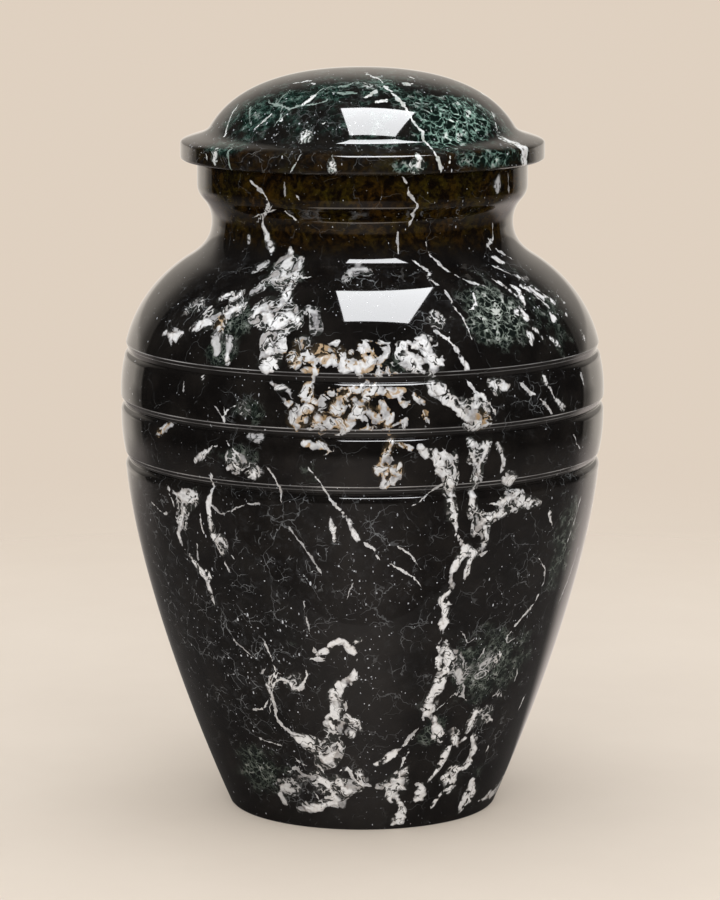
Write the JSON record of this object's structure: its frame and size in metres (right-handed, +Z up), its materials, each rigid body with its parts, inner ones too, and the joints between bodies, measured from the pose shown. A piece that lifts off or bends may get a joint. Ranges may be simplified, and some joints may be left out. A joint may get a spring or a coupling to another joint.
{
  "type": "cremation urn",
  "caption": "Turned marble urn with a lift-off domed lid: a hollow, round-shouldered vessel that tapers to a flat foot, with grooves round the belly, a waisted neck and a straight collar",
  "frame": {"origin": "middle of the foot's underside, on the urn's axis", "axes": "+Z up along the axis of the turned vessel, -Y towards the viewer in the picture, +X to the viewer's right"},
  "size_m": [0.1776, 0.1776, 0.2726],
  "materials": {
    "body_marble": "polished",
    "lid_marble": "polished"
  },
  "bodies": {
    "root": {"urn_body": "body_marble", "urn_lid": "lid_marble"}
  },
  "joints": []
}
